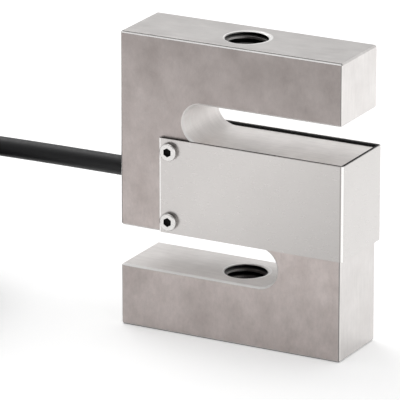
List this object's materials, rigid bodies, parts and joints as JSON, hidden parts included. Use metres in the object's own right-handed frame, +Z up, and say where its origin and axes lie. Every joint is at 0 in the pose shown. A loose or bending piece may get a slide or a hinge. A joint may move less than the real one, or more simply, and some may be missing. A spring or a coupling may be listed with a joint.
{
  "type": "s type load cell",
  "caption": "S-shaped steel load cell block with slotted bars, threaded end holes, a folded gauge cover with screws, and a black signal cable wound in a coil.",
  "frame": {"origin": "on the load axis at the bottom face, where the lower threaded hole comes out", "axes": "+Z up the load axis, towards the upper threaded hole; +X along the bars, away from the cable; +Y through the thickness, away from the front"},
  "size_m": [0.1685, 0.0701, 0.0762],
  "materials": {
    "body_steel": "ground stainless steel",
    "cover_steel": "fine satin stainless sheet",
    "gasket_rubber": "matt black",
    "screw_steel": "bright stainless",
    "gauge_foil": "amber film with foil grid",
    "board_green": "solder resist",
    "chip_ceramic": "ceramic chip",
    "wire_red": "satin insulation",
    "wire_black": "satin insulation",
    "wire_green": "satin insulation",
    "wire_white": "satin insulation",
    "copper_tinned": "tinned strands",
    "potting_silicone": "soft translucent compound",
    "bush_brass": "nickel plated brass",
    "seal_rubber": "matt black",
    "cable_jacket": "black PVC jacket",
    "tie_nylon": "black nylon",
    "sleeve_black": "shrunk sleeve"
  },
  "bodies": {
    "root": {"spring_body": "body_steel", "gauge_cover": "cover_steel", "cover_gasket": "gasket_rubber", "terminal_board": "board_green", "bridge_wires": "copper_tinned", "gauge_jumpers": "copper_tinned", "potting_front": "potting_silicone", "potting_back": "potting_silicone", "cable_bush": "bush_brass", "cable_seal": "seal_rubber", "cable_coil": "cable_jacket", "signal_cable": "cable_jacket", "coil_tie_1": "tie_nylon", "coil_tie_2": "tie_nylon", "end_sleeve": "sleeve_black", "lead_tips": "copper_tinned", "drain_wire": "copper_tinned", "cover_screw_front_lower": "screw_steel", "strain_gauge_front_lower": "gauge_foil", "cover_screw_front_upper": "screw_steel", "strain_gauge_front_upper": "gauge_foil", "cover_screw_back_lower": "screw_steel", "strain_gauge_back_lower": "gauge_foil", "cover_screw_back_upper": "screw_steel", "strain_gauge_back_upper": "gauge_foil", "trim_resistor_zero": "chip_ceramic", "trim_resistor_span": "chip_ceramic", "trim_resistor_bridge": "chip_ceramic", "inner_core_green": "wire_green", "lead_green": "wire_green", "inner_core_black": "wire_black", "lead_black": "wire_black", "inner_core_white": "wire_white", "lead_white": "wire_white", "inner_core_red": "wire_red", "lead_red": "wire_red"}
  },
  "joints": []
}
